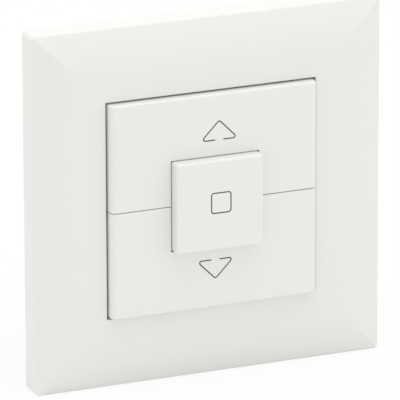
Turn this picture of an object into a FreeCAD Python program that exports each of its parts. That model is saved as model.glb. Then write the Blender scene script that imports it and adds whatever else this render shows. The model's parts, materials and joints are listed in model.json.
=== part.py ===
import FreeCAD, Part
import math
import os
import re
import Sketcher

# Flush roller shutter switch: two half-plate rocker keys and a central stop button in a crowned cover plate.
# Millimetres. +Z is up, the front faces -Y and the wall is the plane Y = 0.
# Depths are written as "out": the distance in front of the wall, so a negative value is inside the wall box.

SIZES = (
    # Cover plate
    ("plate_edge_depth", "5.8"),
    ("plate_crown", "2.2"),
    ("plate_flat_margin", "5"),
    ("plate_wall", "2"),
    ("plate_rim_gap", "4.5"),
    ("plate_corner_radius", "1.2"),
    ("plate_edge_radius", "0.6"),
    ("opening_side", "50.8"),
    ("opening_edge_radius", "0.25"),
    ("collar_wall", "1.2"),
    ("collar_back", "4"),
    # Snap legs of the cover plate
    ("leg_width", "5"),
    ("leg_spacing", "24"),
    ("leg_wall", "1.3"),
    ("leg_offset", "2.2"),
    ("leg_barb", "0.7"),
    ("leg_barb_length", "1.6"),
    # Support frame of sheet steel
    ("frame_sheet", "1.2"),
    ("frame_corner_cut", "8"),
    ("frame_fold_width", "40"),
    ("frame_fold_height", "1.5"),
    ("screw_pitch", "60"),
    ("slot_width", "4"),
    ("slot_length", "7"),
    ("slot_edge", "2"),
    # Rocker keys
    ("key_gap", "0.4"),
    ("key_seam", "0.2"),
    ("key_proud", "2"),
    ("key_wall", "1.6"),
    ("key_skirt_out", "5.4"),
    ("key_side_radius", "1.5"),
    ("key_end_radius", "0.5"),
    ("key_rib", "1"),
    ("key_rib_x", "9"),
    ("key_foot_inset", "3.7"),
    ("notch_gap", "0.2"),
    # Stop button
    ("button_side", "21"),
    ("button_proud", "3"),
    ("button_wall", "1.6"),
    ("button_radius", "0.5"),
    ("button_skirt_out", "5.4"),
    ("button_travel", "1.6"),
    ("stem_side", "4"),
    ("hook_width", "3"),
    ("hook_wall", "1.2"),
    ("hook_inset", "1.9"),
    ("hook_z", "6.5"),
    ("hook_barb", "0.7"),
    # Pivots of the keys
    ("pivot_out", "6.2"),
    ("pivot_z", "2.8"),
    ("pivot_radius", "1.2"),
    ("pivot_clearance", "0.06"),
    ("pivot_length", "2"),
    ("post_inset", "9.7"),
    ("post_wall", "1.8"),
    ("ear_radius", "2.2"),
    ("ear_wall", "1.5"),
    ("ear_gap", "0.2"),
    # Key chassis
    ("chassis_gap", "0.7"),
    ("chassis_wall", "2"),
    ("guide_gap", "0.1"),
    ("guide_wall", "1.4"),
    ("stem_guide_radius", "3.6"),
    ("guide_height", "2"),
    ("arm_width", "5"),
    ("arm_spacing", "22"),
    ("arm_wall", "1.2"),
    ("arm_length", "6"),
    ("arm_barb", "0.8"),
    # Plungers
    ("plunger_inset", "5.4"),
    ("plunger_half", "2.5"),
    ("plunger_shoulder", "0.9"),
    ("plunger_tip_half", "1.5"),
    ("plunger_tip_taper", "0.5"),
    ("plunger_tip_gap", "0.1"),
    ("plunger_notch", "0.7"),
    ("notch_room", "0.15"),
    ("collar_half", "3.5"),
    ("collar_length", "0.8"),
    ("collar_drop", "2.4"),
    ("rod_half", "1.3"),
    ("rod_taper", "0.8"),
    ("rod_side_gap", "0.2"),
    ("plunger_travel", "1.07"),
    ("boss_length", "1.5"),
    # Latch slider
    ("slider_wall", "1.5"),
    ("slider_gap", "0.3"),
    ("slider_half_width", "4"),
    ("slider_end_gap", "1.1"),
    ("slider_arm_width", "2"),
    ("spring_rest_x", "9"),
    ("slider_reach", "2.6"),
    ("slider_travel", "1.2"),
    ("latch_gap", "0.15"),
    ("guide_pin_radius", "1.2"),
    ("guide_pin_inset", "6"),
    # Rear housing
    ("housing_side", "44"),
    ("housing_corner_cut", "5"),
    ("housing_wall", "1.6"),
    ("housing_floor", "2"),
    ("housing_ledge", "1.2"),
    ("ledge_width", "14"),
    ("ledge_height", "2"),
    ("frame_clearance", "0.5"),
    ("spring_room", "4.4"),
    ("shelf_wall", "1.2"),
    ("rib_wall", "1.6"),
    # Contact system
    ("blade_wall", "0.5"),
    ("blade_width", "4.5"),
    ("rod_reach", "1.7"),
    ("rod_gap", "0.05"),
    ("contact_gap", "2.1"),
    ("bead_offset", "1.5"),
    ("bead_radius", "0.9"),
    ("tip_offset", "1"),
    ("tip_radius", "1.5"),
    ("tip_height", "0.8"),
    ("strip_wall", "0.7"),
    ("strip_width", "5.5"),
    ("busbar_wall", "0.8"),
    ("busbar_gap", "0.15"),
    ("busbar_lip", "0.35"),
    ("busbar_end", "0.3"),
    ("busbar_leg_width", "5"),
    ("busbar_foot", "3"),
    ("busbar_rib_inset", "2"),
    ("terminal_width", "7"),
    ("terminal_depth", "6"),
    ("screw_room", "2.3"),
    ("terminal_inset", "6.5"),
    ("wire_radius", "1.5"),
    ("wire_entry_radius", "2"),
    ("screw_radius", "1.5"),
    ("screw_head_radius", "2.3"),
    ("screw_head_length", "1.6"),
    ("screw_gap", "0.05"),
    # Coil springs
    ("key_spring_radius", "2.4"),
    ("key_spring_wire", "0.25"),
    ("stop_spring_radius", "4.2"),
    ("stop_spring_wire", "0.3"),
    ("latch_spring_radius", "0.75"),
    ("latch_spring_wire", "0.15"),
    ("spring_end_gap", "0.1"),
)

doc = FreeCAD.newDocument("roller_shutter_switch")
sheet = doc.addObject("Spreadsheet::Sheet", "sizes")
for row, (alias, number) in enumerate(SIZES, start=1):
    sheet.set(f"A{row}", number)
    sheet.setAlias(f"A{row}", alias)
doc.recompute()

FUNCTIONS = ("abs", "sqrt")
EPSILON = 1e-6


def value(formula):
    """The number that a formula on the sheet gives."""
    return float(sheet.evalExpression(formula))


def bound(formula):
    """The same formula as another object of the document reads it."""
    names = re.compile(r"[a-z_]+")
    return names.sub(lambda m: m.group() if m.group() in FUNCTIONS else "sizes." + m.group(), formula)


# Levels in front of the wall, as formulas on the sheet
FRAME_SIDE = "(screw_pitch + slot_length + 2 * slot_edge)"
PLATE_SIDE = f"({FRAME_SIDE} + 2 * (plate_rim_gap + plate_wall))"
CHASSIS_SIDE = "(opening_side - 2 * chassis_gap)"
POST_X = "(opening_side / 2 - post_inset)"
EAR_INNER = f"({POST_X} + post_wall / 2 + ear_gap)"
HOOK_X = "(button_side / 2 - button_wall - hook_inset)"
CHAMBER_HALF = "(housing_side / 2 - housing_wall)"
PLUNGER_Z = f"({CHAMBER_HALF} - plunger_inset)"
GUIDE_PIN_Z = f"({PLUNGER_Z} - guide_pin_inset)"
TERMINAL_X = f"({CHAMBER_HALF} - screw_room - screw_head_length - terminal_width / 2)"
TERMINAL_Z = f"({PLUNGER_Z} - terminal_inset)"
TIP_X = f"({TERMINAL_X} - tip_offset)"
BEAD_X = f"({TERMINAL_X} + bead_offset)"
PLATE_FRONT = "(plate_edge_depth + plate_crown)"
KEY_FRONT = f"({PLATE_FRONT} + key_proud)"
KEY_CEILING = f"({KEY_FRONT} - key_wall)"
KEY_SIDE = "(opening_side - 2 * key_gap)"
BUTTON_FRONT = f"({KEY_FRONT} + button_proud)"
BUTTON_CEILING = f"({BUTTON_FRONT} - button_wall)"
CHASSIS_BACK = "frame_sheet"
CHASSIS_FRONT = "(frame_sheet + chassis_wall)"
GUIDE_FRONT = f"({CHASSIS_FRONT} + guide_height)"
SLIDER_FRONT = f"({CHASSIS_BACK} - slider_gap)"
SLIDER_BACK = f"({SLIDER_FRONT} - slider_wall)"
COLLAR_FRONT = f"({SLIDER_BACK} - collar_drop)"
COLLAR_BACK = f"({COLLAR_FRONT} - collar_length)"
SHELF_FRONT = f"({COLLAR_BACK} - spring_room)"
SHELF_BACK = f"({SHELF_FRONT} - shelf_wall)"
BLADE_FRONT = f"({SHELF_BACK} - rod_reach)"
BLADE_BACK = f"({BLADE_FRONT} - blade_wall)"
FIXED_TIP_FRONT = f"({BLADE_BACK} - tip_height - contact_gap)"
STRIP_FRONT = f"({FIXED_TIP_FRONT} - tip_height)"
TERMINAL_FRONT = f"({STRIP_FRONT} - strip_wall)"
FLOOR = f"({TERMINAL_FRONT} - terminal_depth)"
HOUSING_BACK = f"({FLOOR} - housing_floor)"
WINDOW_SIDE = "(housing_side + 2 * frame_clearance)"
SLIDER_EDGE = "(plunger_half + latch_gap + slider_arm_width)"
WEDGE_SLOPE = "(slider_travel / button_travel)"

# A view is an origin plane and the sign of each of its two axes: front (x, z), side (out, z), top (x, out)
VIEWS = {
    "front": ("XZ_Plane", "", ""),
    "side": ("YZ_Plane", "-", ""),
    "top": ("XY_Plane", "", "-"),
}


def signed(sign, formula):
    return f"-({formula})" if sign else formula


def new_body(label):
    body = doc.addObject("PartDesign::Body", label)
    body.Label = label
    return body


def rectangle(x0, x1, z0, z1):
    return [(x0, z0), (x1, z0), (x1, z1), (x0, z1)]


def square(half):
    return rectangle(f"-{half}", half, f"-{half}", half)


def square_at(half, z):
    return rectangle(f"-{half}", half, f"({z} - {half})", f"({z} + {half})")


def cut_square(half, cut):
    """A square with its four corners cut off at 45 degrees."""
    inner = f"({half} - {cut})"
    return [
        (f"-{inner}", f"-{half}"), (inner, f"-{half}"), (half, f"-{inner}"), (half, inner),
        (inner, half), (f"-{inner}", half), (f"-{half}", inner), (f"-{half}", f"-{inner}"),
    ]


def circle(x, z, radius):
    return ("circle", x, z, radius)


def add_circle(sketch, view, loop):
    x, z, radius = loop[1:]
    x, z = signed(view[1], x), signed(view[2], z)
    index = sketch.addGeometry(
        Part.Circle(FreeCAD.Vector(value(x), value(z), 0), FreeCAD.Vector(0, 0, 1), value(radius))
    )
    for kind, formula in (("DistanceX", x), ("DistanceY", z)):
        number = sketch.addConstraint(Sketcher.Constraint(kind, index, 3, value(formula)))
        sketch.setExpression(f"Constraints[{number}]", bound(formula))
    number = sketch.addConstraint(Sketcher.Constraint("Radius", index, value(radius)))
    sketch.setExpression(f"Constraints[{number}]", bound(radius))


def add_polygon(sketch, view, loop):
    """A closed outline; a corner may hold a third item, the centre and radius of the arc from there on."""
    corners = [(signed(view[1], c[0]), signed(view[2], c[1])) for c in loop]
    points = [FreeCAD.Vector(value(x), value(z), 0) for x, z in corners]
    starts = []
    for i, point in enumerate(points):
        following = points[(i + 1) % len(points)]
        if len(loop[i]) == 3:
            centre_x, centre_z, radius = loop[i][2]
            centre = FreeCAD.Vector(value(signed(view[1], centre_x)), value(signed(view[2], centre_z)), 0)
            reverse = (point - centre).cross(following - centre).z < 0
            whole = Part.Circle(centre, FreeCAD.Vector(0, 0, 1), value(radius))
            ends = (following, point) if reverse else (point, following)
            index = sketch.addGeometry(Part.ArcOfCircle(whole, *arc_range(centre, *ends)))
            number = sketch.addConstraint(Sketcher.Constraint("Radius", index, value(radius)))
            sketch.setExpression(f"Constraints[{number}]", bound(radius))
            starts.append((index, 2, 1) if reverse else (index, 1, 2))
        else:
            index = sketch.addGeometry(Part.LineSegment(point, following))
            starts.append((index, 1, 2))
    for i, (index, start, end) in enumerate(starts):
        after = starts[(i + 1) % len(starts)]
        sketch.addConstraint(Sketcher.Constraint("Coincident", index, end, after[0], after[1]))
        for kind, formula in zip(("DistanceX", "DistanceY"), corners[i]):
            number = sketch.addConstraint(Sketcher.Constraint(kind, index, start, value(formula)))
            sketch.setExpression(f"Constraints[{number}]", bound(formula))


def arc_range(centre, start, end):
    """The two angles between which the arc runs anticlockwise."""
    first, last = (math.atan2(p.y - centre.y, p.x - centre.x) for p in (start, end))
    return first, last if last > first else last + 2 * math.pi


def add_sketch(body, label, view_name, offset, loops):
    """A sketch on one of the body's own origin planes, moved along its normal by the offset formula."""
    view = VIEWS[view_name]
    sketch = body.newObject("Sketcher::SketchObject", f"{body.Label}_{label}_outline")
    plane = next(f for f in body.Origin.OriginFeatures if f.Role == view[0])
    sketch.AttachmentSupport = (plane, "")
    sketch.MapMode = "FlatFace"
    sketch.setExpression("AttachmentOffset.Base.z", bound(offset))
    for loop in loops:
        if loop[0] == "circle":
            add_circle(sketch, view, loop)
        else:
            add_polygon(sketch, view, loop)
    return sketch


def pad(body, label, view_name, start, end, loops):
    """Material between two offsets along the view's normal."""
    sketch = add_sketch(body, label, view_name, start, loops)
    feature = body.newObject("PartDesign::Pad", f"{body.Label}_{label}")
    feature.Profile = sketch
    feature.setExpression("Length", bound(f"{end} - ({start})"))
    doc.recompute()
    return feature


def cut(body, label, view_name, start, end, loops):
    """A pocket between two offsets along the view's normal; it has to take material away."""
    before = body.Tip.Shape.Volume
    sketch = add_sketch(body, label, view_name, start, loops)
    feature = body.newObject("PartDesign::Pocket", f"{body.Label}_{label}")
    feature.Profile = sketch
    feature.Reversed = True
    feature.setExpression("Length", bound(f"{end} - ({start})"))
    doc.recompute()
    if not feature.Shape.Volume < before - EPSILON:
        raise RuntimeError(f"{body.Label} {label} cuts nothing")
    return feature


def fillet(body, label, radius, wanted):
    """Rounds the edges of the body's last shape that a test on their middle point and direction picks."""
    base = body.Tip
    names = []
    for number, edge in enumerate(base.Shape.Edges, start=1):
        middle = edge.valueAt((edge.FirstParameter + edge.LastParameter) / 2)
        along = edge.tangentAt((edge.FirstParameter + edge.LastParameter) / 2)
        if wanted(middle.x, -middle.y, middle.z, along):
            names.append(f"Edge{number}")
    feature = body.newObject("PartDesign::Fillet", f"{body.Label}_{label}")
    feature.Base = (base, names)
    feature.setExpression("Radius", bound(radius))
    doc.recompute()
    return feature


def near(a, b):
    return abs(a - b) < 1e-3


def place(body, x="0", out="0", z="0", turn=0):
    """Turns a body about Y and moves it."""
    body.Placement = FreeCAD.Placement(FreeCAD.Vector(), FreeCAD.Rotation(FreeCAD.Vector(0, 1, 0), turn))
    body.setExpression("Placement.Base.x", bound(x))
    body.setExpression("Placement.Base.y", bound(f"-({out})"))
    body.setExpression("Placement.Base.z", bound(z))


def revolved(label, profile):
    """A turned piece: the profile holds (out, radius) corners and turns about the Y axis."""
    body = new_body(label)
    sketch = add_sketch(body, "profile", "side", "0", [profile])
    feature = body.newObject("PartDesign::Revolution", f"{label}_turned")
    feature.Profile = sketch
    feature.ReferenceAxis = (sketch, ["H_Axis"])
    feature.Angle = 360
    doc.recompute()
    return body


# Cover plate
def crowned_block(label, half, front, radius, rounding=None):
    """A square block whose front falls away to its edges along an arc that starts at the flat margin."""
    body = new_body(label)
    pad(body, "block", "front", "0", front, [square(half)])
    flat = "(opening_side / 2 + plate_flat_margin)"
    centre = f"({front} - {radius})"
    beyond = f"({half} + 1)"
    above = f"({front} + 1)"
    if rounding:
        fillet(body, "corners", "plate_corner_radius", lambda x, out, z, along: near(abs(along.y), 1))
        lean = f"(({half} - {rounding} - {flat}) / ({radius} - {rounding}))"
        rise = f"sqrt(1 - {lean}^2)"
        touch = (f"({flat} + {radius} * {lean})", f"({centre} + {radius} * {rise})")
        edge = f"({centre} + ({radius} - {rounding}) * {rise})"
    else:
        edge = f"({centre} + sqrt(({radius})^2 - ({half} - {flat})^2))"
    loops = []
    for sign in ("", "-"):
        outline = [(f"{sign}{flat}", front, (f"{sign}{flat}", centre, radius))]
        if rounding:
            outline.append((sign + touch[0], touch[1], (f"{sign}({half} - {rounding})", edge, rounding)))
        loops.append(outline + [
            (f"{sign}{half}", edge), (f"{sign}{beyond}", edge),
            (f"{sign}{beyond}", above), (f"{sign}{flat}", above),
        ])
    cut(body, "crown_across", "top", f"-{beyond}", beyond, loops)
    cut(body, "crown_upright", "side", f"-{beyond}", beyond, [turned(loop) for loop in loops])
    return body


def turned(loop):
    """The same outline with its two axes exchanged, the centres of its arcs too."""
    return [(c[1], c[0]) + (((c[2][1], c[2][0], c[2][2]),) if len(c) == 3 else ()) for c in loop]


def cover_plate():
    width = f"({PLATE_SIDE} / 2 - opening_side / 2 - plate_flat_margin)"
    radius = f"(({width}^2 + plate_crown^2) / (2 * plate_crown))"
    outer = crowned_block("plate_outer", f"({PLATE_SIDE} / 2)", PLATE_FRONT, radius, "plate_edge_radius")
    cavity = crowned_block(
        "plate_cavity", f"({PLATE_SIDE} / 2 - plate_wall)", f"({PLATE_FRONT} - plate_wall)",
        f"({radius} - plate_wall)",
    )
    shell = doc.addObject("Part::Cut", "plate_shell")
    shell.Base = outer
    shell.Tool = cavity
    doc.recompute()
    body = new_body("cover_plate")
    base = body.newObject("PartDesign::FeatureBase", "cover_plate_shell")
    base.BaseFeature = shell
    body.Tip = base
    doc.recompute()
    ceiling = f"({PLATE_FRONT} - plate_wall)"
    pad(body, "collar", "front", "collar_back", f"({ceiling} + 0.2)",
        [square("(opening_side / 2 + collar_wall)")])
    for side in (-1, 1):
        middle = f"({side} * leg_spacing / 2)"
        pad(body, f"leg_{side + 1}", "side", f"({middle} - leg_width / 2)", f"({middle} + leg_width / 2)",
            [leg_profile(ceiling, ""), leg_profile(ceiling, "-")])
    cut(body, "opening", "front", "0", f"({PLATE_FRONT} + 1)", [square("(opening_side / 2)")])
    fillet(body, "opening_edges", "opening_edge_radius", opening_outline)
    return body


def opening_outline(x, out, z, along):
    half = value("opening_side / 2")
    return near(max(abs(x), abs(z)), half) and near(out, value(PLATE_FRONT))


def leg_profile(ceiling, sign):
    """A leg behind the plate with a barb that hooks behind the support frame."""
    inner = f"{sign}(opening_side / 2 + leg_offset)"
    outer = f"{sign}(opening_side / 2 + leg_offset + leg_wall)"
    barb = f"{sign}(opening_side / 2 + leg_offset + leg_wall + leg_barb)"
    return [
        (f"({ceiling} + 0.2)", inner), ("-0.1 - leg_barb_length", inner), ("-0.1 - leg_barb_length", outer),
        ("-0.1", barb), ("-0.1", outer), (f"({ceiling} + 0.2)", outer),
    ]


# Support frame
def support_frame():
    body = new_body("support_frame")
    half = f"({FRAME_SIDE} / 2)"
    pad(body, "sheet", "front", "0", "frame_sheet", [cut_square(half, "frame_corner_cut")])
    fold_top = "(frame_sheet + frame_fold_height)"
    for sign, name in (("", "high"), ("-", "low")):
        near_edge, far_edge = f"{sign}({half} - frame_sheet)", f"{sign}{half}"
        span = ("-(frame_fold_width / 2)", "(frame_fold_width / 2)")
        pad(body, f"fold_{name}", "front", "frame_sheet", fold_top,
            [rectangle(*span, near_edge, far_edge)])
        pad(body, f"side_fold_{name}", "front", "frame_sheet", fold_top,
            [rectangle(near_edge, far_edge, *span)])
    cut(body, "window", "front", "0", "frame_sheet", [square(f"({WINDOW_SIDE} / 2)")])
    cut(body, "screw_slots", "front", "0", "frame_sheet", [slot(s, a) for s in ("", "-") for a in (0, 1)])
    windows = []
    for side in (-1, 1):
        middle = f"({side} * leg_spacing / 2)"
        span = (f"({middle} - leg_width / 2 - 0.5)", f"({middle} + leg_width / 2 + 0.5)")
        for sign in ("", "-"):
            windows.append(rectangle(
                *span, f"{sign}(opening_side / 2 + leg_offset - 0.3)",
                f"{sign}(opening_side / 2 + leg_offset + leg_wall + 0.2)"))
    cut(body, "clip_windows", "front", "0", "frame_sheet", windows)
    return body


def slot(sign, axis):
    """A screw slot on the pitch circle, as four corners joined by two half circles."""
    low = f"{sign}(screw_pitch / 2 - slot_length / 2 + slot_width / 2)"
    high = f"{sign}(screw_pitch / 2 + slot_length / 2 - slot_width / 2)"
    radius = "(slot_width / 2)"
    corners = [
        (low, radius), (high, radius), (f"{high} {sign or '+'} {radius}", "0"), (high, f"-{radius}"),
        (low, f"-{radius}"), (f"{low} {'+' if sign else '-'} {radius}", "0"),
    ]
    arcs = {1: (high, "0", radius), 2: (high, "0", radius), 4: (low, "0", radius), 5: (low, "0", radius)}
    outline = [c + ((arcs[i],) if i in arcs else ()) for i, c in enumerate(corners)]
    return turned(outline) if axis else outline


# Rocker keys
def key_outline(inset):
    """Half of the square with a notch for the stop button; the inset moves every edge inwards."""
    half = f"({KEY_SIDE} / 2 - {inset})"
    seam = f"(key_seam / 2 + {inset})"
    notch = f"(button_side / 2 + notch_gap + {inset})"
    return [
        (f"-{half}", seam), (f"-{notch}", seam), (f"-{notch}", notch), (notch, notch),
        (notch, seam), (half, seam), (half, half), (f"-{half}", half),
    ]


def rocker_key(label, turn):
    body = new_body(label)
    half = f"({KEY_SIDE} / 2)"
    pad(body, "face", "front", "key_skirt_out", KEY_FRONT, [key_outline("0")])
    reach = value(f"{KEY_SIDE} / 2")
    front = value(KEY_FRONT)
    fillet(body, "sides", "key_side_radius",
           lambda x, out, z, along: near(abs(x), reach) and near(out, front))
    fillet(body, "end", "key_end_radius",
           lambda x, out, z, along: (
               near(z, reach) and out > value("key_skirt_out + 0.5") and abs(along.x) > 0.3))
    cut(body, "hollow", "front", "key_skirt_out", KEY_CEILING, [key_outline("key_wall")])
    posts = []
    for sign in (-1, 1):
        middle = f"({sign} * ({POST_X} + ear_wall / 2 + ear_gap / 2))"
        reach_x = "(post_wall / 2 + ear_wall / 2 + ear_gap / 2 + 0.5)"
        posts.append(rectangle(f"({middle} - {reach_x})", f"({middle} + {reach_x})", "0", "(key_wall + 1)"))
    cut(body, "post_clearance", "front", "key_skirt_out", "(pivot_out + pivot_radius + 1)", posts)
    for start in (EAR_INNER, f"-({EAR_INNER} + ear_wall)"):
        name = "left" if start.startswith("-") else "right"
        pad(body, f"ear_{name}", "side", start, f"({start} + ear_wall)", [ear_profile()])
    pad(body, "boss", "front", f"({KEY_CEILING} - boss_length)", f"({KEY_CEILING} + 0.2)",
        [square_at("plunger_half", PLUNGER_Z)])
    pad(body, "ribs", "front", f"({KEY_CEILING} - 1.2)", f"({KEY_CEILING} + 0.2)", [
        rectangle(f"({s} * key_rib_x - key_rib / 2)", f"({s} * key_rib_x + key_rib / 2)",
                  "(button_side / 2 + notch_gap + key_wall - 0.1)", f"({half} - key_wall + 0.1)")
        for s in (-1, 1)
    ])
    for sign in (-1, 1):
        low = f"({sign} * (opening_side / 2 - key_foot_inset) - 1)"
        pad(body, f"foot_{sign + 1}", "front", f"({CHASSIS_FRONT} + 0.05)", "(key_skirt_out + 0.2)",
            [rectangle(low, f"({low} + 2)", "(key_seam / 2 + 0.2)", "(key_seam / 2 + key_wall)")])
    place(body, turn=turn)
    return body


def ear_profile():
    """A hinge ear: straight flanks down from the ceiling and a round end with the pin hole in it."""
    bottom = "(pivot_out - ear_radius)"
    centre = ("pivot_out", "pivot_z", "ear_radius")
    ceiling = f"({KEY_CEILING} + 0.2)"
    return [
        (ceiling, "(pivot_z - ear_radius)"), ("pivot_out", "(pivot_z - ear_radius)", centre),
        (bottom, "pivot_z", centre), ("pivot_out", "(pivot_z + ear_radius)"),
        (ceiling, "(pivot_z + ear_radius)"),
    ]


def ear_holes(body):
    cut(body, "pin_holes", "side", f"-({EAR_INNER} + ear_wall)", f"({EAR_INNER} + ear_wall)",
        [circle("pivot_out", "pivot_z", "(pivot_radius + pivot_clearance)")])


# Stop button
def stop_button():
    body = new_body("stop_button")
    half = "(button_side / 2)"
    pad(body, "cap", "front", "button_skirt_out", BUTTON_FRONT, [square(half)])
    side, front, back = value(half), value(BUTTON_FRONT), value("button_skirt_out")
    fillet(body, "edges", "button_radius",
           lambda x, out, z, along: near(max(abs(x), abs(z)), side) and out > back + EPSILON)
    cut(body, "hollow", "front", "button_skirt_out", BUTTON_CEILING, [square(f"({half} - button_wall)")])
    wedge_top = f"({SLIDER_FRONT} + 0.4)"
    stem = "(stem_side / 2)"
    tip = f"({SLIDER_BACK} - 0.1)"
    pad(body, "stem", "top", f"-{stem}", stem, [[
        (f"-{stem}", f"({BUTTON_CEILING} + 0.2)"), (f"-{stem}", wedge_top),
        (f"(({wedge_top} - {tip}) * {WEDGE_SLOPE} - {stem})", tip), (stem, tip),
        (stem, f"({BUTTON_CEILING} + 0.2)"),
    ]])
    for sign in (-1, 1):
        middle = f"({sign} * hook_z)"
        pad(body, f"hook_{sign + 1}", "top", f"({middle} - hook_width / 2)", f"({middle} + hook_width / 2)",
            [hook_profile("" if sign > 0 else "-")])
    return body


def hook_profile(sign):
    """A snap hook that passes the chassis and catches behind it, so that the button can't fall out."""
    inner, outer = f"{sign}({HOOK_X} - hook_wall / 2)", f"{sign}({HOOK_X} + hook_wall / 2)"
    barb = f"{sign}({HOOK_X} + hook_wall / 2 + hook_barb)"
    catch = f"({CHASSIS_BACK} - 0.1)"
    return [
        (inner, f"({BUTTON_CEILING} + 0.2)"), (inner, f"({catch} - 1.4)"), (outer, f"({catch} - 1.4)"),
        (barb, f"({catch} - 0.4)"), (barb, catch), (outer, catch), (outer, f"({BUTTON_CEILING} + 0.2)"),
    ]


# Key chassis
def key_chassis():
    body = new_body("key_chassis")
    pad(body, "flange", "front", CHASSIS_BACK, CHASSIS_FRONT, [square(f"({CHASSIS_SIDE} / 2)")])
    pad(body, "stem_guide", "front", CHASSIS_FRONT, GUIDE_FRONT, [circle("0", "0", "stem_guide_radius")])
    pad(body, "plunger_guides", "front", CHASSIS_FRONT, f"({CHASSIS_FRONT} + 1)", [
        square_at("(plunger_half + guide_gap + guide_wall)", f"{s}{PLUNGER_Z}") for s in ("", "-")
    ])
    post_front = "(pivot_out + pivot_radius + 0.2)"
    posts = []
    for sign in (-1, 1):
        posts.append(rectangle(f"({sign} * {POST_X} - post_wall / 2)", f"({sign} * {POST_X} + post_wall / 2)",
                               "-(pivot_z + pivot_radius + 1)", "(pivot_z + pivot_radius + 1)"))
    pad(body, "posts", "front", CHASSIS_FRONT, post_front, posts)
    for sign in (-1, 1):
        inner = (f"({POST_X} + post_wall / 2 - 0.2)" if sign > 0
                 else f"-({POST_X} + post_wall / 2 + pivot_length)")
        pad(body, f"pins_{sign + 1}", "side", inner, f"({inner} + pivot_length + 0.2)",
            [circle("pivot_out", f"{s}pivot_z", "pivot_radius") for s in ("", "-")])
    cut(body, "stem_hole", "front", CHASSIS_BACK, GUIDE_FRONT, [square("(stem_side / 2 + guide_gap)")])
    cut(body, "plunger_holes", "front", CHASSIS_BACK, f"({CHASSIS_FRONT} + 1)", [
        square_at("(plunger_half + guide_gap)", f"{s}{PLUNGER_Z}") for s in ("", "-")
    ])
    slots = []
    for sign in ("", "-"):
        slots.append(rectangle(
            f"{sign}({HOOK_X} - hook_wall / 2 - 0.2)", f"{sign}({HOOK_X} + hook_wall / 2 + 0.15)",
            f"{sign}(hook_z - hook_width / 2 - 0.2)", f"{sign}(hook_z + hook_width / 2 + 0.2)"))
    cut(body, "hook_slots", "front", CHASSIS_BACK, CHASSIS_FRONT, slots)
    pin_back = f"({SLIDER_BACK} - 0.6)"
    pad(body, "guide_pins", "front", pin_back, f"({CHASSIS_BACK} + 0.2)",
        [circle("0", f"{s}{GUIDE_PIN_Z}", "guide_pin_radius") for s in ("", "-")])
    pad(body, "spring_rest", "front", f"({SLIDER_BACK} - 0.6)", f"({CHASSIS_BACK} + 0.2)",
        [rectangle("-(spring_rest_x + 1.2)", "-spring_rest_x", "-2.2", "2.2")])
    inner_wall = "(housing_side / 2 - housing_wall - 0.2)"
    for sign in (-1, 1):
        middle = f"({sign} * arm_spacing / 2)"
        pad(body, f"arms_{sign + 1}", "side", f"({middle} - arm_width / 2)", f"({middle} + arm_width / 2)",
            [arm_profile(inner_wall, s) for s in ("", "-")])
    return body


def arm_profile(wall, sign):
    """A snap arm with a barb that sits in a window of the rear housing."""
    inner, outer, barb = f"{sign}({wall} - arm_wall)", f"{sign}{wall}", f"{sign}({wall} + arm_barb)"
    end = f"({CHASSIS_BACK} - arm_length)"
    return [
        (f"({CHASSIS_BACK} + 0.2)", inner), (f"({end} - 1.6)", inner), (f"({end} - 1.6)", outer),
        (f"({end} - 0.4)", barb), (end, barb), (end, outer), (f"({CHASSIS_BACK} + 0.2)", outer),
    ]


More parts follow.
